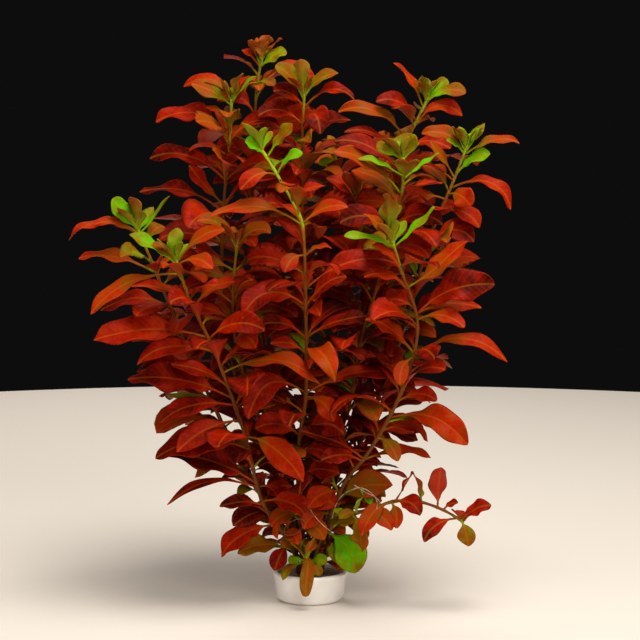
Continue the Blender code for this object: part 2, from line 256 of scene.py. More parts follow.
# smaller leaves that share one mesh on each stem
smallLeaves = {
    "left_front": [
        (130, -38, -10, -3, 11, 5, 50, .82), (103, -36, -12, -6, 12, 4, 50, .92),
        (95, -30, -14, -14, 13, 3, 50, .80), (60, -44, -12, -7, 6, 7, 20, .92),
        (113, -27, -8, 11, 9, 3, 40, .78), (155, -28, -6, 8, 9, 3, 35, .62),
        (174, 23, -4, 17, 9, 3, 40, .52), (173, 17, -12, -2, 9, 4, 50, .60),
        (172, -23, -4, 14, 9, 2, 40, .06), (175, 1, -2, 15, 8, 0, 0, .06), (174, -13, -2, 9, 7, 2, 50, .40),
        (152, 24, 6, 12, 11, 4, 30, .66), (136, 28, -14, 6, 13, 5, 50, .86),
        (50, -21, -8, 0, 8, 2, 40, .90), (30, -7, -10, -12, 9, 2, 40, .90), (44, 3, -12, -9, 5, 2, 40, .50),
        (46, -24, -3, 4, 8, 4, 30, .95), (52, 22, -10, -4, 13, 3, 55, .78),
        (60, 16, 6, -10, 12, 4, 50, .82), (36, 8, -11, -4, 8, 2, 40, .62),
    ],
    "far_left": [
        (188, -13, -2, 15, 11, 1, 50, .04), (188, -3, -3, 17, 12, 0, 0, .30),
        (187, 14, -3, 19, 5, -1, 40, .10), (186, -22, -6, 5, 8, 3, 40, .55), (168, 20, 8, 9, 9, 3, 30, .62),
        (181, 9, 14, 9, 8, 2, 20, .35), (150, -34, 6, -4, 12, 6, 40, .78),
        (150, 26, 12, 10, 11, 5, 30, .84),
    ],
    "left_back": [
        (250, -20, -4, 10, 11, 2, 50, .38), (252, 5, -3, 15, 10, 0, 0, .26),
        (252, 12, -2, 14, 5, 1, 30, .08), (252, -24, 6, 7, 9, 8, 30, .62),
        (199, -17, -8, 20, 9, 0, 55, .62), (244, -12, -3, 5, 5, 1, 30, .60), (251, 8, 6, 16, 6, 1, 10, .78),
        (232, 26, -4, 8, 11, 6, 40, .80), (212, 28, -6, 4, 12, 6, 40, .82),
    ],
    "tall": [
        (270, 13, -3, 8, 11, 1, 50, .28), (272, -5, -2, 12, 7, 0, 20, .22), (270, -9, -3, 8, 6, 1, 40, .66),
        (262, -12, -6, -11, 9, 4, 50, .60), (262, 9, -8, -2, 6, 2, 40, .36),
        (233, -15, -8, 0, 9, 3, 40, .60), (246, 22, -10, 6, 12, 5, 50, .86),
        (246, -20, 6, 8, 11, 5, 40, .84),
    ],
    "middle": [
        (254, -14, -4, 17, 11, 2, 50, .34), (256, -2, -3, 17, 10, 0, 0, .30),
        (255, 17, -3, 11, 9, 3, 50, .36), (240, 9, -16, -5, 13, 8, 40, .84),
        (250, -15, -6, 8, 13, 3, 55, .92), (241, -23, -4, 5, 12, 5, 50, .84),
        (232, 24, 2, 10, 12, 5, 40, .84),
    ],
    "centre_front": [
        (226, -9, -3, 8, 9, 1, 50, .02), (225, 13, -3, 15, 9, 1, 50, .28), (216, 12, -4, 11, 6, 2, 50, .12),
        (216, -16, -6, -8, 9, 4, 45, .62), (192, 22, -4, 9, 9, 3, 35, .64),
        (190, 8, 14, -6, 12, 4, 30, .60), (177, -9, -10, -8, 9, 3, 40, .60),
        (177, 13, -3, 4, 5, 2, 30, .60), (152, 19, -6, 16, 10, 2, 50, .84),
        (136, 30, -4, 10, 10, 3, 40, .82), (136, -26, -8, 5, 11, 5, 40, .90),
        (128, -17, -8, 5, 8, 3, 40, .74), (109, -27, -14, -12, 15, 12, 60, .88),
        (105, 14, -14, -10, 10, 3, 50, .62), (104, 15, 6, -6, 13, 4, 60, .95),
        (88, 22, -10, 2, 14, 4, 55, .84), (86, -22, -6, 4, 14, 4, 55, .80), (64, 20, -2, 2, 13, 4, 55, .80),
        (58, -16, 2, -2, 12, 3, 50, .86), (52, 18, -6, -3, 13, 3, 55, .76),
        (44, -14, -8, -4, 11, 3, 50, .50), (40, 12, -10, -6, 10, 3, 45, .45),
        (34, -9, -9, -4, 8, 2, 40, .42), (32, 5, -10, -3, 7, 2, 30, .36),
    ],
    "right_front": [
        (182, -14, -3, 17, 8, 1, 45, .40), (182, -24, -4, 5, 6, 2, 25, .10),
        (182, 20, -3, 18, 7, 0, 35, .15), (169, -15, -4, 13, 9, 3, 45, .75),
        (161, -21, -4, 5, 10, 4, 40, .76), (146, 22, -12, -3, 10, 4, 45, .60),
        (149, 32, 8, 1, 10, 4, 40, .66), (152, -15, 4, 2, 12, 3, 40, .82),
        (129, -23, -6, 19, 11, 2, 45, .68), (127, -7, -12, -12, 8, 3, 30, .62),
        (106, 19, -8, 2, 9, 3, 45, .70), (94, 26, 6, -3, 8, 3, 30, .38), (90, 24, 10, -6, 9, 4, 30, .72),
        (86, 9, -12, -10, 8, 3, 40, .42), (75, 33, -8, 3, 9, 3, 35, .62), (75, -31, -8, 13, 12, 3, 40, .94),
        (74, -20, -14, 2, 10, 3, 45, .82), (36, 15, -10, -19, 17, 4, 55, .10),
        (54, 27, -4, 6, 16, 4, 55, .47), (58, -16, -6, -8, 12, 3, 50, .72),
        (46, -14, -8, -6, 10, 3, 45, .60), (30, 10, -9, -8, 9, 2, 40, .30),
    ],
    "right_upper": [
        (228, -6, -3, 12, 10, 0, 20, .26), (228, 8, -3, 12, 9, 0, 30, .06), (217, 16, -4, 9, 9, 2, 45, .16),
        (226, -9, -3, 6, 5, 1, 30, .05), (214, -13, -4, 17, 7, 1, 45, .50), (226, -21, 4, 9, 9, 5, 40, .42),
        (212, -19, -6, 9, 6, 2, 30, .80), (206, 10, -12, -6, 12, 3, 50, .60),
        (197, 19, -8, -8, 10, 4, 45, .74), (180, 24, -8, 4, 13, 6, 50, .82),
        (180, -20, 8, 6, 12, 5, 40, .84),
    ],
    "right_top": [
        (242, -21, -4, 10, 10, 5, 45, .80), (252, -2, -2, 13, 10, 0, 0, .12),
        (252, 20, -4, 5, 9, 3, 35, .26), (250, 12, 4, 14, 9, 1, 30, .08), (226, -31, -6, 13, 6, 3, 30, .84),
        (228, 22, -8, 0, 12, 5, 40, .78),
    ],
    "right_centre": [
        (222, 2, 6, 15, 14, 0, 0, .30), (214, 2, -14, 9, 14, 1, 0, .18), (223, -13, -3, 7, 7, 1, 45, .10),
        (215, -22, -4, 10, 5, 1, 30, .10), (214, 17, -4, 12, 7, 1, 35, .08),
        (216, -34, 2, 18, 10, 4, 40, .80), (190, 24, -6, 2, 13, 6, 50, .84),
        (186, -26, -6, 6, 13, 6, 50, .84),
    ],
    "back": [
        (222, -10, -8, 5, 10, 3, 40, .40), (222, -8, -6, -3, 5, 1, 40, .10),
        (224, 12, -4, 9, 9, 2, 40, .42),
    ],
    "back_right": [(200, -16, -4, 14, 10, 3, 40, .66), (200, 14, -6, 14, 10, 3, 40, .62)],
    "inner_left": [
        (180, -19, -6, 15, 10, 4, 45, .40), (180, 17, -6, 9, 11, 4, 50, .48),
        (178, 10, -12, 4, 10, 3, 40, .62), (178, 20, 6, 14, 12, 4, 40, .86),
    ],
    "creeping": [
        (42, 9, -3, 16, 9, 0, 20, .60), (55, -4, -3, 16, 8, 0, 10, .32), (41, 13, -8, -5, 10, 3, 50, .80),
        (66, 7, -4, 4, 5, 1, 40, .70), (74, 3, -5, -12, 9, 2, 30, .42), (40, -14, -8, -16, 9, 4, 50, .56),
        (40, 2, -6, -12, 7, 2, 40, .52), (24, -10, -5, -2, 6, 1, 40, .36), (28, 12, -10, -8, 9, 3, 40, .50),
        (22, 3, -4, 9, 5, 0, 20, .12), (30, -5, 5, 9, 5, 0, 20, .14), (19, -8, -4, 2, 5, 1, 30, .18),
        (10, 12, -8, 4, 8, 2, 40, .26), (14, 14, -2, -8, 9, 2, 40, .38),
    ],
    "front_shoot": [
        (24, -10, -3, 12, 6, 1, 0, .30), (24, 4, -3, 12, 6, 0, 0, .24), (23, -8, -3, -1, 6, 1, 30, .12),
        (22, -12, -5, -8, 5, 2, 30, .36), (22, 6, -5, -6, 6, 2, 30, .30), (20, 10, -4, 2, 7, 2, 30, .20),
    ],
}

# the foam plug: where the stems start in it, on three rings, its own shape and colours, and a dark colour
# painted in its pores as shade
plug = {"top": 13.6, "start": 4.0, "rings": (0.0, 2.8, 5.5), "spread": 1.05, "clearance": 0.65, "lift": 0.35,
        "edge": 1.5, "hole": 7.0, "sides": 120, "rough": 0.12, "roughShare": (0.4, 0.4, 1.0), "seed": 5,
        "pore": 0.8, "pores": "#3A3026", "foam": "#8A7E6C"}
stemSize = {"radius": 1.1, "tipRadius": 0.6, "swelling": 0.3, "swellingLength": 1.6, "sides": 14,
            "spacing": 1.5}


def smoothRoute(points, spacing):
    # Catmull-Rom: each stretch is the cubic through its two points that keeps the slope between neighbours
    ends = np.vstack([2 * points[0] - points[1], points, 2 * points[-1] - points[-2]])
    parts = []
    for a, b, c, d in zip(ends, ends[1:], ends[2:], ends[3:]):
        steps = max(1, round(np.linalg.norm(c - b) / spacing))
        t = (np.arange(steps) / steps)[:, None]
        parts.append(0.5 * (2 * b + (c - a) * t + (2 * a - 5 * b + 4 * c - d) * t ** 2
                            + (3 * b - a - 3 * c + d) * t ** 3))
    return np.vstack([*parts, points[-1:]])


def stemRoute(name, spacing):
    # from a point on a ring inside the plug, nearly upright to the plug's top, and on through its points
    (ring, degrees), points, _ = stems[name]
    angle = np.radians(degrees)
    reach = plug["rings"][ring]
    start = np.array([reach * np.cos(angle), reach * np.sin(angle), plug["start"]])
    surface = np.array([start[0] * plug["spread"], start[1] * plug["spread"], plug["top"]])
    return smoothRoute(np.vstack([start, surface, points]), spacing)


routes = {name: stemRoute(name, stemSize["spacing"]) for name in stems}


def pointOn(name, place):  # the point, the stem's direction there, and how far along the stem it is
    route, axis = routes[name], placedBy.get(name, 2)
    at = min(np.searchsorted(np.maximum.accumulate(route[:, axis]), place), len(route) - 1)
    return route[at], unit(route[at] - route[max(at - 1, 0)]), at / (len(route) - 1)


# one leaf

# the stalk's width, the thicknesses and the rib are in millimetres. Places along the leaf, such as the end
# of its stalk, are shares of its length, and the wave's height is a share of its width
leafShape = {
    "stalk": 0.17, "stalkWidth": 1.1, "widest": (0.48, 0.62), "pointed": (0.7, 1.0), "bladeThickness": 0.26,
    "stalkThickness": 1.0, "ribHeight": 0.30, "ribWidth": 0.55, "fold": 0.24, "folds": (0.4, 1.5),
    "waves": (1.8, 2.6), "waveHeight": 0.14, "waveHeights": (0.5, 1.3), "flick": 0.09, "flickFrom": 0.62,
    "sway": 0.06, "twist": 30.0, "crowding": 1.25, "youngBase": 0.5, "youngReach": 0.22,
    "tipTone": (-0.06, 0.24),
    "startsAt": {"large": 0.9, "small": 0.5, "trial": 0.8},  # from the stem's axis, inside its skin
}
acrossTop = np.array([-1, -.84, -.62, -.38, -.16, 0, .16, .38, .62, .84, 1])
mediumAcross = acrossTop[[0, 1, 3, 5, 7, 9, 10]]
lightAcross = np.array([-1, -0.5, 0, 0.5, 1])  # hundreds of leaves have this section, so it has few points


def halfWidth(along, width, quirk):
    # a thin stalk that opens into a blade: b^p (1 - b)^q, whose widest place is p / (p + q). The two
    # widths are joined as the root of the sum of their squares
    blade = np.clip((along - leafShape["stalk"]) / (1 - leafShape["stalk"]), 0, 1)
    m, q = quirk["widest"], quirk["pointed"]
    p = q * m / (1 - m)
    oval = (blade / m) ** p * ((1 - blade) / (1 - m)) ** q
    stalk = leafShape["stalkWidth"] * (1 - smoothStep(0.7, 1.0, along) * 0.9)  # thinner near the tip
    return np.sqrt((width * oval) ** 2 + stalk ** 2) / 2


def leafLine(base, leaf, quirk, along):
    # the midrib is a parabola over its chord, in the upright plane of its heading. It sways aside with
    # sin^2, and its end flicks up or down with the square of the distance. The faces turn towards the
    # front over the stalk, then twist on with the square of the distance
    _, across, back, up, _, bow, turn, _ = leaf
    heading = unit(np.array([across, back, 0.0]))
    sideways = np.array([-heading[1], heading[0], 0.0])
    high = np.array([0.0, 0.0, 1.0])
    chord = np.array([np.hypot(across, back), up])
    length = np.linalg.norm(chord)
    lift = np.array([-chord[1], chord[0]]) / length * bow
    a = along[:, None]
    flat = chord * a + lift * 4 * a * (1 - a)
    slope = unit(chord + lift * 4 * (1 - 2 * a))
    direction = slope[:, :1] * heading + slope[:, 1:] * high
    upper = slope[:, :1] * high - slope[:, 1:] * heading
    points = base + flat[:, :1] * heading + flat[:, 1:] * high
    points = points + sideways * quirk["sway"] * length * np.sin(np.pi * a) ** 2
    past = np.clip((a - leafShape["flickFrom"]) / (1 - leafShape["flickFrom"]), 0, 1)
    points = points + upper * quirk["flick"] * length * past ** 2
    side = np.cross(direction, upper)
    side = np.where(side[:, 1:2] > 0, -side, side)
    angle = np.radians(turn * np.minimum(1, a / leafShape["stalk"]) + quirk["twist"] * a ** 2)
    face = upper * np.cos(angle) + side * np.sin(angle)
    edge = side * np.cos(angle) - upper * np.sin(angle)
    return points, direction, face, edge, length


def newQuirk(random):  # what makes one leaf a little unlike the next
    return {
        "sway": random.uniform(-1, 1) * leafShape["sway"],
        "flick": random.uniform(-1, 0.8) * leafShape["flick"],
        "twist": random.uniform(-1, 1) * leafShape["twist"],
        "phase": random.uniform(0, 2 * np.pi, 2),
        "waves": random.uniform(*leafShape["waves"]),
        "wave": random.uniform(*leafShape["waveHeights"]),
        "fold": random.uniform(*leafShape["folds"]),
        "widest": random.uniform(*leafShape["widest"]),
        "pointed": random.uniform(*leafShape["pointed"]),
        "tipTone": random.uniform(*leafShape["tipTone"]),
    }


def bladeOffset(along, across, half, width, quirk):
    # how far the blade stands off its midrib: a shallow V, and a wave that grows towards the margin
    side = np.where(across < 0, quirk["phase"][0], quirk["phase"][1])
    waves = np.sin(2 * np.pi * quirk["waves"] * along + side)
    wave = leafShape["waveHeight"] * quirk["wave"] * width * np.abs(across) ** 1.7 * waves
    opened = smoothStep(0, 0.5, half * 2 / width)
    return leafShape["fold"] * quirk["fold"] * np.abs(across) * half * opened + wave * opened


def leafGrid(base, leaf, quirk, stations, top):
    # a closed section carried along the midrib: over the top from margin to margin, and back underneath.
    # The sections lie closer together towards the tip, at 1 - (1 - t)^1.25, and the last one is the tip.
    # The blade thins to nothing at its margins. Its midrib is a bell curve across it, a ridge below and a
    # shallow groove above, which gets lower towards the tip
    along = 1 - (1 - np.linspace(0, 1, stations + 1)) ** leafShape["crowding"]
    points, direction, face, edge, length = leafLine(base, leaf, quirk, along)
    poles = points[[0, -1]]
    along, points, direction, face, edge = (line[:-1] for line in (along, points, direction, face, edge))
    across = np.concatenate([top, top[-2:0:-1]])[None, :]
    isTop = np.concatenate([np.ones(len(top)), np.zeros(len(top) - 2)])[None, :]
    isTop = np.where(np.abs(across) == 1, 0.5, isTop)
    half = halfWidth(along, leaf[4], quirk)[:, None]
    bladeShare = smoothStep(leafShape["stalk"] * 0.7, leafShape["stalk"] * 1.9, along)[:, None]
    rib = leafShape["ribHeight"] * np.exp(-(across * half / leafShape["ribWidth"]) ** 2)
    rib = rib * (1 - 0.8 * along[:, None])
    margin = np.sqrt(np.clip(1 - across ** 2, 0, 1))
    flat = leafShape["bladeThickness"] / 2 * (0.35 + 0.65 * margin)
    stalk = (1 - bladeShare) * leafShape["stalkThickness"] / 2 * margin
    under = bladeShare * (flat + rib) + stalk
    over = bladeShare * (flat - 0.25 * rib) + stalk
    thick = np.where(isTop == 1, over, np.where(isTop == 0, -under, 0))
    offset = bladeOffset(along[:, None], across, half, leaf[4], quirk) * bladeShare + thick
    grid = points[:, None] + edge[:, None] * (across * half)[..., None] + face[:, None] * offset[..., None]
    tone = leaf[7] - leafShape["youngBase"] * np.exp(-along / leafShape["youngReach"])
    tone = np.clip(tone + quirk["tipTone"] * along ** 2, 0, 1)
    shape = grid.shape[:2]
    values = {
        "tone": np.broadcast_to(tone[:, None], shape),
        "upper": np.broadcast_to(isTop, shape),
        "alongBlade": np.broadcast_to((along * length)[:, None], shape),
        "acrossBlade": across * half,
    }
    handed = np.sum(np.cross(edge[0], face[0]) * direction[0])
    if handed < 0:  # the section has to run the same way round on every leaf, so that faces point out
        order = (-np.arange(shape[1])) % shape[1]
        grid = grid[:, order]
        values = {label: numbers[:, order] for label, numbers in values.items()}
    return grid, poles, values


def leafBase(name, leaf, kind):
    # a leaf starts inside the stem's skin, on the side that it heads for
    place, along, _ = pointOn(name, leaf[0])
    heading = unit(np.array([leaf[1], leaf[2], 0.0]))
    outward = unit(heading - along * np.dot(heading, along))
    return place + outward * leafShape["startsAt"][kind]


# which leaves there are

filling = {
    "seed": 11, "shape": (0.40, 0.54), "rise": (-8, 30), "bow": (0.10, 0.2), "face": (-15, 45),
    "tries": 11, "allowance": 1, "topGap": 7, "startGap": 8, "stray": 15,
    # a leaf is shorter near its stem's tip and near the pot: the share that it keeps, and the rest of it
    "tipLength": (0.62, 0.38), "lowLength": (0.55, 0.45),
    # no leaf starts where a chosen one is this near along the stem (mm) and round it (degrees)
    "nearPlace": 9, "nearHeading": 48,
    # each new try swings to the other side, further out, and is shorter and steeper
    "swing": 60, "shorter": 0.35, "steeper": 12,
    # how far past the box's sides a leaf may reach (mm), and how low
    "past": (2.0, 4.0, 1.0), "lowest": 2.5,
    # many leaves below this height stay olive, because little light gets there, and some do above it
    "lowLeaves": 62, "oliveShare": (0.6, 0.16), "olive": (0.25, 0.6), "toneShift": (-0.16, 0.12),
    # each round of filling: the lowest height, the highest one (or None, for up to the tip), how far apart
    # the pairs are, and how long the leaves are
    "rounds": [(17, None, (8, 12), (30, 44)), (19, 78, (5, 8), (24, 34)), (70, None, (9, 14), (22, 34))],
    "bare": ("creeping", "front_shoot"),
}


class Clearance:
    # coarse copies of the leaves that are in place, for a new one to be tried against
    def __init__(self):
        self.placed = []

    def sheet(self, base, leaf, quirk):  # the blade alone, with no thickness
        along = np.linspace(0.14, 1, 8)
        points, _, face, edge, _ = leafLine(base, leaf, quirk, along)
        half = halfWidth(along, leaf[4], quirk)
        offset = bladeOffset(along[:, None], lightAcross[None], half[:, None], leaf[4], quirk)
        grid = points[:, None] + edge[:, None] * (lightAcross[None] * half[:, None])[..., None]
        return grid + face[:, None] * offset[..., None]

    def tree(self, grid, closed=False):  # the grid's faces, joined round if closed, and its box
        rows, columns, _ = grid.shape
        index = np.arange(rows * columns).reshape(rows, columns)
        if closed:
            index = np.concatenate([index, index[:, :1]], axis=1)
        a, b, c, d = index[:-1, :-1], index[:-1, 1:], index[1:, 1:], index[1:, :-1]
        faces = np.stack([a, b, c, d], -1).reshape(-1, 4)
        points = grid.reshape(-1, 3)
        return BVHTree.FromPolygons(points.tolist(), faces.tolist()), points.min(0), points.max(0)

    def trial(self, name, leaf, quirk):
        return self.tree(self.sheet(leafBase(name, leaf, "trial"), leaf, quirk))

    def touches(self, trial):  # how many pairs of faces cross, among the leaves whose boxes meet
        tree, low, high = trial
        return sum(len(tree.overlap(other)) for other, otherLow, otherHigh in self.placed
                   if (low < otherHigh).all() and (otherLow < high).all())


def inBounds(trial):  # whether its box is inside the object's, apart from a little room
    _, low, high = trial
    lowest, highest = np.array(cadBox[0]) / mm, np.array(cadBox[1]) / mm
    past = np.array(filling["past"])
    return (low > lowest - past).all() and (high < highest + past).all() and low[2] > filling["lowest"]


def insideToneAndShade(name, place):
    # leaves deep in the bunch are darkest, which is painted shade, and towards a stem's tip they redden, then
    # turn orange and olive, which is their own colour
    top = routes[name][-1, 2]
    below = (top - place) / top
    return float(np.interp(below, [0.0, 0.06, 0.15, 0.35, 0.8], [0.42, 0.55, 0.70, 0.80, 0.93]))


def wrapped(degrees):  # the same turn, from -180 to 180
    return (degrees + 180) % 360 - 180


def isNear(leaf, place, heading):  # on the same stretch of the stem and the same side of it
    theirs = float(np.degrees(np.arctan2(leaf[2], leaf[1])))
    return (abs(place - leaf[0]) < filling["nearPlace"]
            and abs(wrapped(heading - theirs)) < filling["nearHeading"])


def bestFit(name, clearance, quirk, start, rest):
    # the first try that touches nothing, or else the one that touches least
    place, heading, rise, size = start
    share, bow, face, tone = rest
    best = None
    for attempt in range(filling["tries"]):
        swing = attempt / (filling["tries"] - 1)
        turned = heading + filling["swing"] * swing * (-1) ** attempt
        long = size * (1 - filling["shorter"] * swing)
        angle, climb = np.radians(turned), np.radians(rise + filling["steeper"] * swing)
        leaf = (place, long * np.cos(climb) * np.cos(angle), long * np.cos(climb) * np.sin(angle),
                long * np.sin(climb), long * share, bow, face, tone)
        trial = clearance.trial(name, leaf, quirk)
        if not inBounds(trial):
            continue
        hits = clearance.touches(trial)
        if best is None or hits < best[0]:
            best = (hits, leaf, trial)
        if hits == 0:
            break
    return best


def fillStem(name, clearance, random, first, last, spacing, length):
    # opposite pairs up the stem, each pair turned a quarter from the last
    made = []
    chosen = largeLeaves.get(name, []) + smallLeaves.get(name, [])
    end = routes[name][-1, 2]
    top = min(last or 1e6, end - filling["topGap"])
    place = first + random.uniform(0, filling["startGap"])
    turn = random.uniform(0, 360)
    while place < top:
        for half in (0, 180):
            heading = turn + half + random.uniform(-filling["stray"], filling["stray"])
            kept, more = filling["tipLength"]
            size = random.uniform(*length) * (kept + more * smoothStep(0, 50, end - place))
            kept, more = filling["lowLength"]
            size = size * (kept + more * smoothStep(20, 80, place))
            share = random.uniform(*filling["shape"])
            rise = random.uniform(*filling["rise"])
            face = random.uniform(*filling["face"])
            # a leaf deeper in the bunch takes a darker tone, which is painted shade
            tone = np.clip(insideToneAndShade(name, place) + random.uniform(*filling["toneShift"]), 0, 1)
            if random.random() < filling["oliveShare"][0 if place < filling["lowLeaves"] else 1]:
                tone = random.uniform(*filling["olive"])
            bow = size * random.uniform(*filling["bow"])
            quirk = newQuirk(random)
            quirk["waves"] -= 1  # few faces carry few waves
            quirk["wave"] *= 0.7
            if any(isNear(leaf, place, heading) for leaf in chosen):
                continue
            best = bestFit(name, clearance, quirk, (place, heading, rise, size), (share, bow, face, tone))
            if best and best[0] <= filling["allowance"]:
                clearance.placed.append(best[2])
                made.append((best[1], quirk))
        place += random.uniform(*spacing)
        turn += 90
    return made


tipPair = {
    "lengths": (13, 9, 5.5), "spread": (0.85, 1.1), "width": 0.54, "bow": 0.08, "face": (-20, 30),
    "heading": 40, "climb": 38, "steeper": 16, "lean": 0.35, "wave": 0.4, "fold": 0.6,
}


def tipLeaves(name, random):
    # a growing tip holds crossed pairs that get smaller and more upright towards the bud
    tone = stems[name][2]
    end, along, _ = pointOn(name, 1e6)
    made = []
    for pair, length in enumerate(tipPair["lengths"]):
        for half in (0, 180):
            angle = np.radians(tipPair["heading"] + 90 * pair + half + random.uniform(-12, 12))
            climb = np.radians(tipPair["climb"] + tipPair["steeper"] * pair + random.uniform(-8, 8))
            size = length * random.uniform(*tipPair["spread"])
            reach = np.array([np.cos(angle) * np.cos(climb), np.sin(angle) * np.cos(climb), np.sin(climb)])
            reach = reach * size + along * size * tipPair["lean"]
            quirk = newQuirk(random)
            quirk["waves"] -= 1
            quirk["wave"] *= tipPair["wave"]
            quirk["fold"] *= tipPair["fold"]
            leaf = (0, *reach, size * tipPair["width"], size * tipPair["bow"],
                    random.uniform(*tipPair["face"]), max(0, tone + 0.12 - 0.1 * pair))
            made.append((end - along * (2 - 0.8 * pair), leaf, quirk))
    return made


def stemRing(route, radius, sides):
    # the tube's section turns with the route: its first axis is square to the route and to the Y axis
    tangent = unit(np.gradient(route, axis=0))
    first = unit(np.cross(tangent, np.array([0.0, 1.0, 0.0])))
    second = np.cross(tangent, first)
    angle = np.linspace(0, 2 * np.pi, sides, endpoint=False)
    ring = np.cos(angle)[None, :, None] * first[:, None] + np.sin(angle)[None, :, None] * second[:, None]
    return route[:, None] + ring * radius[:, None, None]


random = np.random.default_rng(filling["seed"])
clearance = Clearance()
leafQuirks = {}
for name in stems:
    coarse = routes[name][::4]
    clearance.placed.append(clearance.tree(stemRing(coarse, np.full(len(coarse), 1.2), 6), True))
    for kind, table in (("large", largeLeaves), ("small", smallLeaves)):
        for number, leaf in enumerate(table.get(name, [])):
            quirk = newQuirk(random)
            if leaf[7] < 0.35:  # a young leaf is rounder, and widest nearer to its tip
                quirk["widest"] += 0.06
                quirk["pointed"] *= 0.72
            if kind == "small":
                quirk["wave"] *= 0.6
            if (name, number, kind) == ("centre_front", 5, "large"):  # the leaf over the rim is blunt
                quirk.update(widest=0.68, pointed=0.42, tipTone=-0.1)
            leafQuirks[kind, name, number] = quirk
            clearance.placed.append(clearance.trial(name, leaf, quirk))
potRing = np.array([[(r * np.cos(a), r * np.sin(a), z) for a in np.linspace(0, 2 * np.pi, 25)[:-1]]
                    for r, z in ((15, 0), (19.3, 15.3), (15, 14), (7, 14))])
clearance.placed.append(clearance.tree(potRing, True))
fillers = {name: [] for name in stems}
for filled in filling["rounds"]:
    for name in stems:
        if name not in filling["bare"]:
            fillers[name] += fillStem(name, clearance, random, *filled)
tips = {name: tipLeaves(name, random) for name in stems}
print("leaves laid out, with", sum(map(len, fillers.values())), "between the chosen ones")


# leaf material: sizes in millimetres

leafFinish = {
    "tones": [(0.0, "#58B402"), (0.12, "#6A9602"), (0.25, "#746602"), (0.38, "#824802"), (0.51, "#983A02"),
              (0.62, "#A62A02"), (0.74, "#9A1600"), (0.88, "#720C00"), (1.0, "#460500")],
    "vein": "#C46818", "under": "#B84030", "veinSpacing": 3.0, "veinLean": 0.9, "veinShare": 0.4,
    "underShare": 0.3, "patch": 7.0, "patchTone": (-0.17, 0.15), "grain": 0.9, "roughness": (0.42, 0.62),
}


def leafSkin():
    # living leaf, grown not made: a waxy skin over soft flesh. It gives a soft satin shine, a little
    # light through the blade, a pale midrib and side veins, and patches of more and less red
    material, tree, shader = newMaterial("living leaf, waxy", {
        "IOR": 1.43, "Specular IOR Level": 0.07, "Subsurface Weight": 0.1, "Subsurface Scale": 0.0012,
        "Subsurface Radius": (1.0, 0.25, 0.08),
    })
    tone, upper, along, across = [
        addNode(tree, "ShaderNodeAttribute", {}, {"attribute_name": label}).outputs["Fac"]
        for label in ("tone", "upper", "alongBlade", "acrossBlade")]
    place = addNode(tree, "ShaderNodeTexCoord").outputs["Object"]
    patches = addNode(tree, "ShaderNodeTexNoise", {
        "Vector": place, "Scale": 1000 / leafFinish["patch"], "Detail": 4.0, "Roughness": 0.6}).outputs["Fac"]
    lower, higher = leafFinish["patchTone"]
    shift = addNode(tree, "ShaderNodeMapRange", {
        "Value": patches, "From Min": 0.25, "From Max": 0.75, "To Min": lower, "To Max": higher})
    patched = addNode(tree, "ShaderNodeMath", {0: tone, 1: shift.outputs["Result"]},
                      {"operation": "ADD", "use_clamp": True})
    ramp = addNode(tree, "ShaderNodeValToRGB", {"Fac": patched.outputs["Value"]})
    setRamp(ramp, leafFinish["tones"])
    # side veins: stripes of equal (along - lean x distance from the midrib)
    distance = addNode(tree, "ShaderNodeMath", {0: across}, {"operation": "ABSOLUTE"}).outputs["Value"]
    lean = addNode(tree, "ShaderNodeMath", {0: distance, 1: -leafFinish["veinLean"], 2: along},
                   {"operation": "MULTIPLY_ADD"})
    stripe = addNode(tree, "ShaderNodeMath", {0: lean.outputs["Value"], 1: leafFinish["veinSpacing"] / 2},
                     {"operation": "PINGPONG"})
    sideVein = addNode(tree, "ShaderNodeMapRange", {
        "Value": stripe.outputs["Value"], "From Min": 0.0, "From Max": 0.42, "To Min": 0.22, "To Max": 0.0,
    }, {"interpolation_type": "SMOOTHSTEP"})
    midVein = addNode(tree, "ShaderNodeMapRange", {
        "Value": distance, "From Min": 0.15, "From Max": 0.75, "To Min": 0.75, "To Max": 0.0,
    }, {"interpolation_type": "SMOOTHSTEP"})
    veins = addNode(tree, "ShaderNodeMath", {0: sideVein.outputs["Result"], 1: midVein.outputs["Result"]},
                    {"operation": "MAXIMUM"}).outputs["Value"]
    veinShare = addNode(tree, "ShaderNodeMath", {0: veins, 1: leafFinish["veinShare"]},
                        {"operation": "MULTIPLY"})
    veined = addNode(tree, "ShaderNodeMix", {
        "Factor": veinShare.outputs["Value"], "A": ramp.outputs["Color"], "B": hexColour(leafFinish["vein"]),
    }, {"data_type": "RGBA"})
    underShare = addNode(tree, "ShaderNodeMapRange", {
        "Value": upper, "To Min": leafFinish["underShare"], "To Max": 0.0})
    colour = addNode(tree, "ShaderNodeMix", {
        "Factor": underShare.outputs["Result"], "A": veined.outputs["Result"],
        "B": hexColour(leafFinish["under"]),
    }, {"data_type": "RGBA"})
    grain = addNode(tree, "ShaderNodeTexNoise", {
        "Vector": place, "Scale": 1000 / leafFinish["grain"], "Detail": 2.0})
    smoother, rougher = leafFinish["roughness"]
    rough = addNode(tree, "ShaderNodeMapRange", {
        "Value": patches, "From Min": 0.3, "From Max": 0.7, "To Min": smoother, "To Max": rougher})
    height = addNode(tree, "ShaderNodeMath", {0: veins, 1: -0.7, 2: grain.outputs["Fac"]},
                     {"operation": "MULTIPLY_ADD"})  # the veins lie a little below the skin
    bump = addNode(tree, "ShaderNodeBump", {
        "Height": height.outputs["Value"], "Strength": 0.35, "Distance": 0.0002})
    setInputs(tree, shader, {"Base Color": colour.outputs["Result"], "Roughness": rough.outputs["Result"],
                             "Normal": bump.outputs["Normal"]})
    return material


leafMaterial = leafSkin()


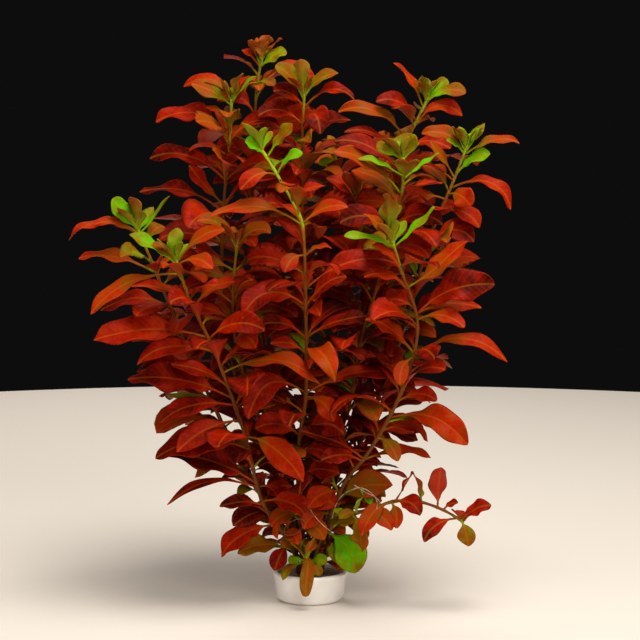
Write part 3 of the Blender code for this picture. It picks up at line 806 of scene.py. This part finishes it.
def addLeaves(name, rows, stations, top, replaced=()):
    # each row is a leaf's base, the leaf and its quirk. All of them join in one mesh
    grids, poles, values = zip(*[leafGrid(*row, stations, top) for row in rows])
    values = {key: np.stack([value[key] for value in values]) for key in values[0]}
    mesh = closedMesh(name, np.stack(grids), np.stack(poles), values, leafMaterial)
    addPiece(name, mesh, replaced)


def makeLargeLeaves():
    for name, table in largeLeaves.items():
        for number, leaf in enumerate(table):
            row = (leafBase(name, leaf, "large"), leaf, leafQuirks["large", name, number])
            label = f"leaf_{name}_{number + 1}"
            addLeaves("fine_" + label, [row], 30, acrossTop, [label])


def makeSmallLeaves():
    for name in stems:
        rows = [(leafBase(name, leaf, "small"), leaf, leafQuirks["small", name, number])
                for number, leaf in enumerate(smallLeaves.get(name, []))]
        if rows:
            addLeaves("small_leaves_" + name, rows, 18, mediumAcross)
        if fillers[name]:
            rows = [(leafBase(name, leaf, "small"), leaf, quirk) for leaf, quirk in fillers[name]]
            addLeaves("inner_leaves_" + name, rows, 10, lightAcross)
        addLeaves("growing_tip_" + name, tips[name], 9, lightAcross)


makeLargeLeaves()
makeSmallLeaves()
print("leaves made")


# stems

stemFinish = {
    "ages": [(0.0, "#A6BC1A"), (0.16, "#8C8A18"), (0.36, "#90460A"), (0.75, "#6C3A0A"), (1.0, "#482E0A")],
    # how old the skin is, from the stem's foot to its tip, whose own age follows its leaves
    "places": (0, 0.35, 0.85, 0.92, 1.0), "old": (1.0, 0.8, 0.55, 0.35), "tip": (0.05, 0.5),
    # one stem has shot up fast, and is still bright green near its tip
    "fast": "centre_front", "fastPlaces": (0, 0.35, 0.76, 0.84, 1.0), "fastOld": (1.0, 0.75, 0.5, 0.02, 0.0),
    "jointYounger": 0.1, "streak": 0.8, "streakAge": 0.12,
}


def stemSkin():
    # young plant stem: a smooth, faintly ribbed skin, yellow-green where new and red-brown where old
    material, tree, shader = newMaterial("living stem, smooth", {
        "IOR": 1.43, "Specular IOR Level": 0.2, "Roughness": 0.45, "Subsurface Weight": 0.1,
        "Subsurface Scale": 0.001})
    age = addNode(tree, "ShaderNodeAttribute", {}, {"attribute_name": "age"}).outputs["Fac"]
    place = addNode(tree, "ShaderNodeTexCoord").outputs["Object"]
    stretched = addNode(tree, "ShaderNodeMapping", {"Vector": place, "Scale": (1.0, 1.0, 0.12)})
    streaks = addNode(tree, "ShaderNodeTexNoise", {
        "Vector": stretched.outputs["Vector"], "Scale": 1000 / stemFinish["streak"],
        "Detail": 3.0}).outputs["Fac"]
    shift = addNode(tree, "ShaderNodeMapRange", {
        "Value": streaks, "From Min": 0.3, "From Max": 0.7, "To Min": -stemFinish["streakAge"],
        "To Max": stemFinish["streakAge"]})
    total = addNode(tree, "ShaderNodeMath", {0: age, 1: shift.outputs["Result"]},
                    {"operation": "ADD", "use_clamp": True})
    ramp = addNode(tree, "ShaderNodeValToRGB", {"Fac": total.outputs["Value"]})
    setRamp(ramp, stemFinish["ages"])
    bump = addNode(tree, "ShaderNodeBump", {"Height": streaks, "Strength": 0.25, "Distance": 0.0002})
    setInputs(tree, shader, {"Base Color": ramp.outputs["Color"], "Normal": bump.outputs["Normal"]})
    return material


def makeStems():
    # a tube that tapers from foot to tip, and swells in a bell curve at each joint where leaves grow
    material = stemSkin()
    for name, (_, _, tipTone) in stems.items():
        route = routes[name]
        share = np.linspace(0, 1, len(route))
        radius = stemSize["radius"] + (stemSize["tipRadius"] - stemSize["radius"]) * share
        leaves = largeLeaves.get(name, []) + smallLeaves.get(name, []) + [row[0] for row in fillers[name]]
        joints = np.array([pointOn(name, leaf[0])[2] for leaf in leaves])
        lengths = np.concatenate([[0], np.cumsum(np.linalg.norm(np.diff(route, axis=0), axis=1))])
        at = np.interp(joints, share, lengths)
        swell = np.exp(-((lengths[:, None] - at[None]) / stemSize["swellingLength"]) ** 2).max(axis=1)
        radius = radius * (1 + stemSize["swelling"] * swell)
        grid = stemRing(route, radius, stemSize["sides"])
        if name == stemFinish["fast"]:
            age = np.interp(share, stemFinish["fastPlaces"], stemFinish["fastOld"])
        else:
            least, more = stemFinish["tip"]
            age = np.interp(share, stemFinish["places"], [*stemFinish["old"], least + more * tipTone])
        age = np.broadcast_to((age - stemFinish["jointYounger"] * swell)[:, None], grid.shape[:2])
        ends = np.stack([route[0], route[-1] + (route[-1] - route[-2]) * 0.3])
        mesh = closedMesh("fine_stem_" + name, grid[None], ends[None], {"age": age[None]}, material)
        replaced = ["stem_" + name] if "stem_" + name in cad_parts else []
        addPiece("fine_stem_" + name, mesh, replaced)


makeStems()


# thread roots that hang from the joints of the stems: each passes these points, and tapers to its end
roots = {
    "radius": 0.22, "tipRadius": 0.12, "sides": 7, "spacing": 0.8, "mottle": 1.5,
    "pale": "#D8CDB4", "brown": "#7A4A24", "dark": "#6A4426",
    "threads": [
        [(22, -24, 63), (27, -26, 60), (33, -27, 57), (36, -27, 52), (38, -27, 47)],
        [(20, -23, 60), (25, -26, 62), (30, -28, 60), (33, -29, 56), (33, -29, 50)],
        [(0, -19, 50), (3, -21, 46), (7, -22, 42), (12, -22, 38)],
        [(11, -15, 44), (13, -18, 52), (17, -21, 58), (24, -23, 62)],
        [(6, 10, 40), (8, 17, 35), (12, 21, 28), (13, 25, 22)],
    ],
    "loop": {"centre": (-8, -20, 41), "radius": 5.4, "shrinks": 0.8, "squash": 0.8, "slant": 0.5,
             "turns": 1.1, "forward": -0.4, "points": 16},
}


def rootSkin(name, colour):
    # living root: a hair-thin pale thread, damp and softly shining
    material, tree, shader = newMaterial(name, {"Roughness": 0.45, "IOR": 1.4})
    place = addNode(tree, "ShaderNodeTexCoord").outputs["Object"]
    mottle = addNode(tree, "ShaderNodeTexNoise", {"Vector": place, "Scale": 1000 / roots["mottle"]})
    ramp = addNode(tree, "ShaderNodeValToRGB", {"Fac": mottle.outputs["Fac"]})
    setRamp(ramp, [(0.3, colour), (0.7, roots["dark"])])
    setInputs(tree, shader, {"Base Color": ramp.outputs["Color"]})
    return material


def addRoot(name, points, material):
    # a tube along a smooth line through the points, which thins evenly to its end
    route = smoothRoute(np.array(points, float), roots["spacing"])
    radius = np.linspace(roots["radius"], roots["tipRadius"], len(route))
    grid = stemRing(route, radius, roots["sides"])
    ends = np.stack([route[0], route[-1]])
    addPiece(name, closedMesh(name, grid[None], ends[None], None, material))


def makeRoots():
    pale = rootSkin("living root, pale", roots["pale"])
    for number, points in enumerate(roots["threads"], 1):
        addRoot(f"root_{number}", points, pale)
    # the loop is an upright, flattened spiral that shrinks and comes forward as it turns
    loop = roots["loop"]
    angle = np.linspace(0, 2 * np.pi * loop["turns"], loop["points"])
    drift = np.linspace(1, loop["shrinks"], loop["points"]) * loop["radius"]
    high = drift * loop["squash"] * np.sin(angle + loop["slant"])
    points = np.array(loop["centre"]) + np.stack([drift * np.cos(angle), loop["forward"] * angle, high], -1)
    addRoot("root_loop", points, rootSkin("living root, brown", roots["brown"]))


makeRoots()
print("stems and roots made")


# pot and plug

pot = {"height": 15.0, "rim": 19.0, "foot": 14.5, "wall": 2.6, "floor": 2.6, "footRound": 2.5, "sides": 144,
       "pooling": 9.0, "thinGlaze": "#F2EDE6", "thickGlaze": "#FAF8F5"}


def arcPoints(centre, radius, start, end, steps):  # points on a circle, from one angle to the other
    angle = np.radians(np.linspace(start, end, steps + 1))
    return np.stack([centre[0] + radius * np.cos(angle), centre[1] + radius * np.sin(angle)], -1)


def innerRadius(height):  # the wall leans in a straight line from the rim to the rounding at the foot
    lean = (pot["rim"] - pot["foot"] - pot["footRound"]) / pot["height"]
    return pot["rim"] - pot["wall"] - lean * (pot["height"] - height)


def turnedGrid(outline, sides):
    # each outline point (distance from the axis, height) goes once round the axis
    angle = np.linspace(0, 2 * np.pi, sides, endpoint=False)
    x = outline[:, :1] * np.cos(angle)
    y = outline[:, :1] * np.sin(angle)
    return np.stack([x, y, np.broadcast_to(outline[:, 1:], x.shape)], -1)


def refined(outline, step):  # each straight stretch is divided evenly, about a step at a time
    parts = [np.linspace(a, b, max(1, round(np.linalg.norm(b - a) / step)), endpoint=False)
             for a, b in zip(outline, outline[1:])]
    return np.vstack([*parts, outline[-1:]])


def glaze():
    # glazed earthenware, dipped and fired: a smooth glassy white over warm clay, with faint pooling
    material, tree, shader = newMaterial("glazed earthenware, dipped", {
        "IOR": 1.5, "Coat Weight": 0.5, "Coat Roughness": 0.08})
    place = addNode(tree, "ShaderNodeTexCoord").outputs["Object"]
    pooling = addNode(tree, "ShaderNodeTexNoise", {
        "Vector": place, "Scale": 1000 / pot["pooling"], "Detail": 3.0}).outputs["Fac"]
    ramp = addNode(tree, "ShaderNodeValToRGB", {"Fac": pooling})
    setRamp(ramp, [(0.3, pot["thinGlaze"]), (0.7, pot["thickGlaze"])])
    rough = addNode(tree, "ShaderNodeMapRange", {"Value": pooling, "To Min": 0.16, "To Max": 0.32})
    bump = addNode(tree, "ShaderNodeBump", {"Height": pooling, "Strength": 0.15, "Distance": 0.0004})
    setInputs(tree, shader, {"Base Color": ramp.outputs["Color"], "Roughness": rough.outputs["Result"],
                             "Normal": bump.outputs["Normal"]})
    return material


def makePot():
    # an outline turned round the axis: the floor inside, the wall, a round lip, the wall outside, a
    # rounded foot and the underside. The floor and the underside meet the axis at a pole each
    lip, hub = pot["wall"] / 2, 0.6
    outline = np.vstack([
        [(hub, pot["floor"]), (innerRadius(pot["floor"]), pot["floor"])],
        arcPoints((pot["rim"] - lip, pot["height"] - lip), lip, 180, 0, 14),
        [(pot["foot"] + pot["footRound"] + 0.4, pot["footRound"] + 2.0)],
        arcPoints((pot["foot"], pot["footRound"]), pot["footRound"], 0, -90, 10),
        [(hub, 0.0)],
    ])
    grid = turnedGrid(refined(outline, 1.0), pot["sides"])
    poles = np.array([[0, 0, pot["floor"]], [0, 0, 0.0]])
    mesh = closedMesh("fine_pot", grid[None][:, :, ::-1], poles[None], None, glaze())
    addPiece("fine_pot", mesh, ["pot"])


def foam():
    # open-cell foam, cut from sheet and packed round the stems: matt, grey-brown and full of small pores,
    # whose hollows are painted dark as shade
    material, tree, shader = newMaterial("open-cell foam, cut", {
        "Roughness": 0.95, "Specular IOR Level": 0.2})
    place = addNode(tree, "ShaderNodeTexCoord").outputs["Object"]
    pores = addNode(tree, "ShaderNodeTexVoronoi", {
        "Vector": place, "Scale": 1000 / plug["pore"]}).outputs["Distance"]
    # the pores' centres take the dark pore colour, which is painted shade inside them
    ramp = addNode(tree, "ShaderNodeValToRGB", {"Fac": pores})
    setRamp(ramp, [(0.1, plug["pores"]), (0.6, plug["foam"])])
    bump = addNode(tree, "ShaderNodeBump", {"Height": pores, "Strength": 0.8, "Distance": 0.0005})
    setInputs(tree, shader, {"Base Color": ramp.outputs["Color"], "Normal": bump.outputs["Normal"]})
    return material


def makePlug():
    # a ring with a rounded top edge, turned round the axis, and then roughened point by point
    low, edge, hole = pot["floor"] + plug["lift"], plug["edge"], plug["hole"]
    top = innerRadius(plug["top"]) - plug["clearance"]
    outline = np.vstack([
        arcPoints((top - edge, plug["top"] - edge), edge, 90, 0, 5),
        [(innerRadius(low) - plug["clearance"], low), (hole, low), (hole, plug["top"])],
    ])
    outline = refined(np.vstack([outline, outline[:1]]), 0.8)[:-1]
    grid = turnedGrid(outline, plug["sides"])
    rough = np.random.default_rng(plug["seed"]).normal(0, plug["rough"], grid.shape[:2])
    grid = grid + rough[..., None] * np.array(plug["roughShare"])
    mesh = closedMesh("fine_plug", grid[None][:, :, ::-1], None, None, foam())
    addPiece("fine_plug", mesh, ["plug"])


makePot()
makePlug()
print("pot and plug made")


# floor and light, in metres and watts

stage = {"floorRadius": 0.88, "floorSides": 128, "floorColour": "#E6E0D8", "glow": (1.0, 0.93, 0.85, 1.0),
         "glowStrength": 0.11, "backdrop": (0.004, 0.004, 0.004, 1.0)}
# each lamp: its place, what it aims at, its size, its power, its colour, and whether surfaces reflect it
lamps = {
    "top": ((0.2, -0.3, 1.1), (0, 0, 0.12), 0.6, 13, (1.0, 0.94, 0.86), True),
    "front": ((0.6, -1.2, 0.7), (0, 0, 0.12), 0.7, 7, (1.0, 0.93, 0.84), True),
    "left": ((-0.9, -0.6, 0.5), (0, 0, 0.12), 0.7, 2.4, (1.0, 0.95, 0.88), False),
    "back": ((-0.2, 0.9, 0.8), (0, 0, 0.15), 0.5, 4, (1.0, 0.94, 0.86), False),
}


def addFloor():  # a flat disc
    sides = stage["floorSides"]
    angle = np.linspace(0, 2 * np.pi, sides, endpoint=False)
    rim = np.stack([np.cos(angle), np.sin(angle), np.zeros(sides)], -1) * stage["floorRadius"]
    mesh = bpy.data.meshes.new("floor")
    mesh.from_pydata(rim.tolist(), [], [list(range(sides))])
    material, _, _ = newMaterial("floor", {"Base Color": hexColour(stage["floorColour"]), "Roughness": 0.8})
    mesh.materials.append(material)
    floor = bpy.data.objects.new("floor", mesh)
    bpy.context.scene.collection.objects.link(floor)


def addLamp(name, place, aim, size, watts, colour, shines):  # a square panel that faces its aim
    lamp = bpy.data.objects.new(name, bpy.data.lights.new(name, "AREA"))
    lamp.data.size = size
    lamp.data.energy = watts
    lamp.data.color = colour
    lamp.location = place
    lamp.visible_glossy = shines
    lamp.rotation_euler = (Vector(aim) - Vector(place)).to_track_quat("-Z", "Y").to_euler()
    bpy.context.scene.collection.objects.link(lamp)


def addWorld():
    # the surroundings give a soft warm glow, and are almost black where the camera sees them
    world = bpy.data.worlds.new("studio")
    world.use_nodes = True
    tree = world.node_tree
    glow = tree.nodes["Background"]
    setInputs(tree, glow, {"Color": stage["glow"], "Strength": stage["glowStrength"]})
    dark = addNode(tree, "ShaderNodeBackground", {"Color": stage["backdrop"]})
    rays = addNode(tree, "ShaderNodeLightPath")
    mix = addNode(tree, "ShaderNodeMixShader", {
        0: rays.outputs["Is Camera Ray"], 1: glow.outputs[0], 2: dark.outputs[0]})
    setInputs(tree, tree.nodes["World Output"], {"Surface": mix.outputs[0]})
    bpy.context.scene.world = world


addFloor()
for name, lamp in lamps.items():
    addLamp(name, *lamp)
addWorld()
bpy.context.scene.view_settings.view_transform = "Standard"
print("floor and lights set")
